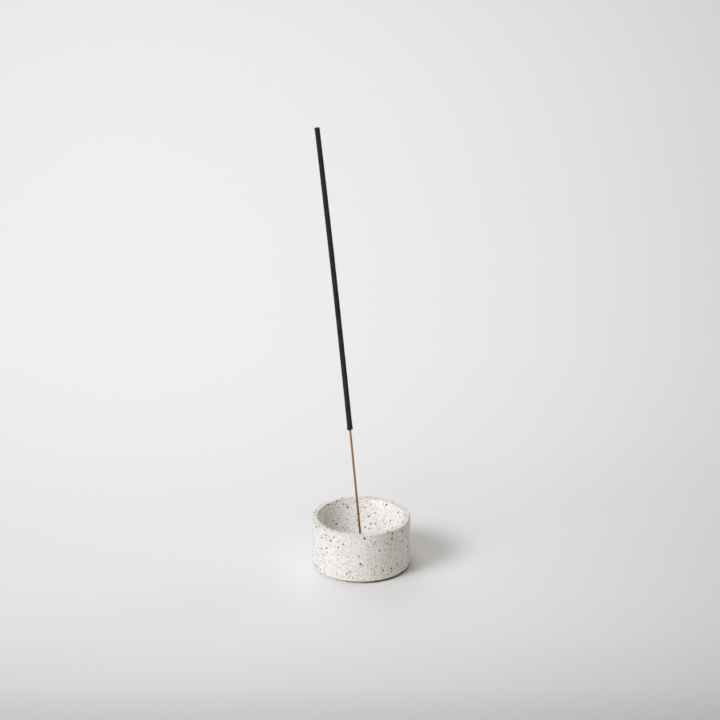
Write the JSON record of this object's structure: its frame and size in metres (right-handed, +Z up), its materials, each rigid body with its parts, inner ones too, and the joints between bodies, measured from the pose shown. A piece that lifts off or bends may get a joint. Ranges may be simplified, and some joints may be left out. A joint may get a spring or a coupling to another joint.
{
  "type": "incense stick holder",
  "caption": "Round speckled stoneware dish with a blind socket in its bowl that holds a leaning charcoal incense stick over the dish to catch its ash.",
  "frame": {"origin": "centre of the holder's foot, on the surface that it stands on", "axes": "+Z up along the holder's axis; the stick leans towards -X, in the XZ plane"},
  "size_m": [0.0508, 0.0508, 0.2283],
  "materials": {
    "speckled_stoneware": "satin",
    "bamboo": "raw",
    "charcoal_paste": "matte"
  },
  "bodies": {
    "holder": {"stoneware_holder": "speckled_stoneware"},
    "stick": {"bamboo_core": "bamboo", "incense_coating": "charcoal_paste"}
  },
  "joints": [
    {"name": "stick_lift", "type": "slide", "parent": "holder", "child": "stick", "axis": [-0.0961, 0, 0.9954], "range_m": [0, 0.03]}
  ]
}
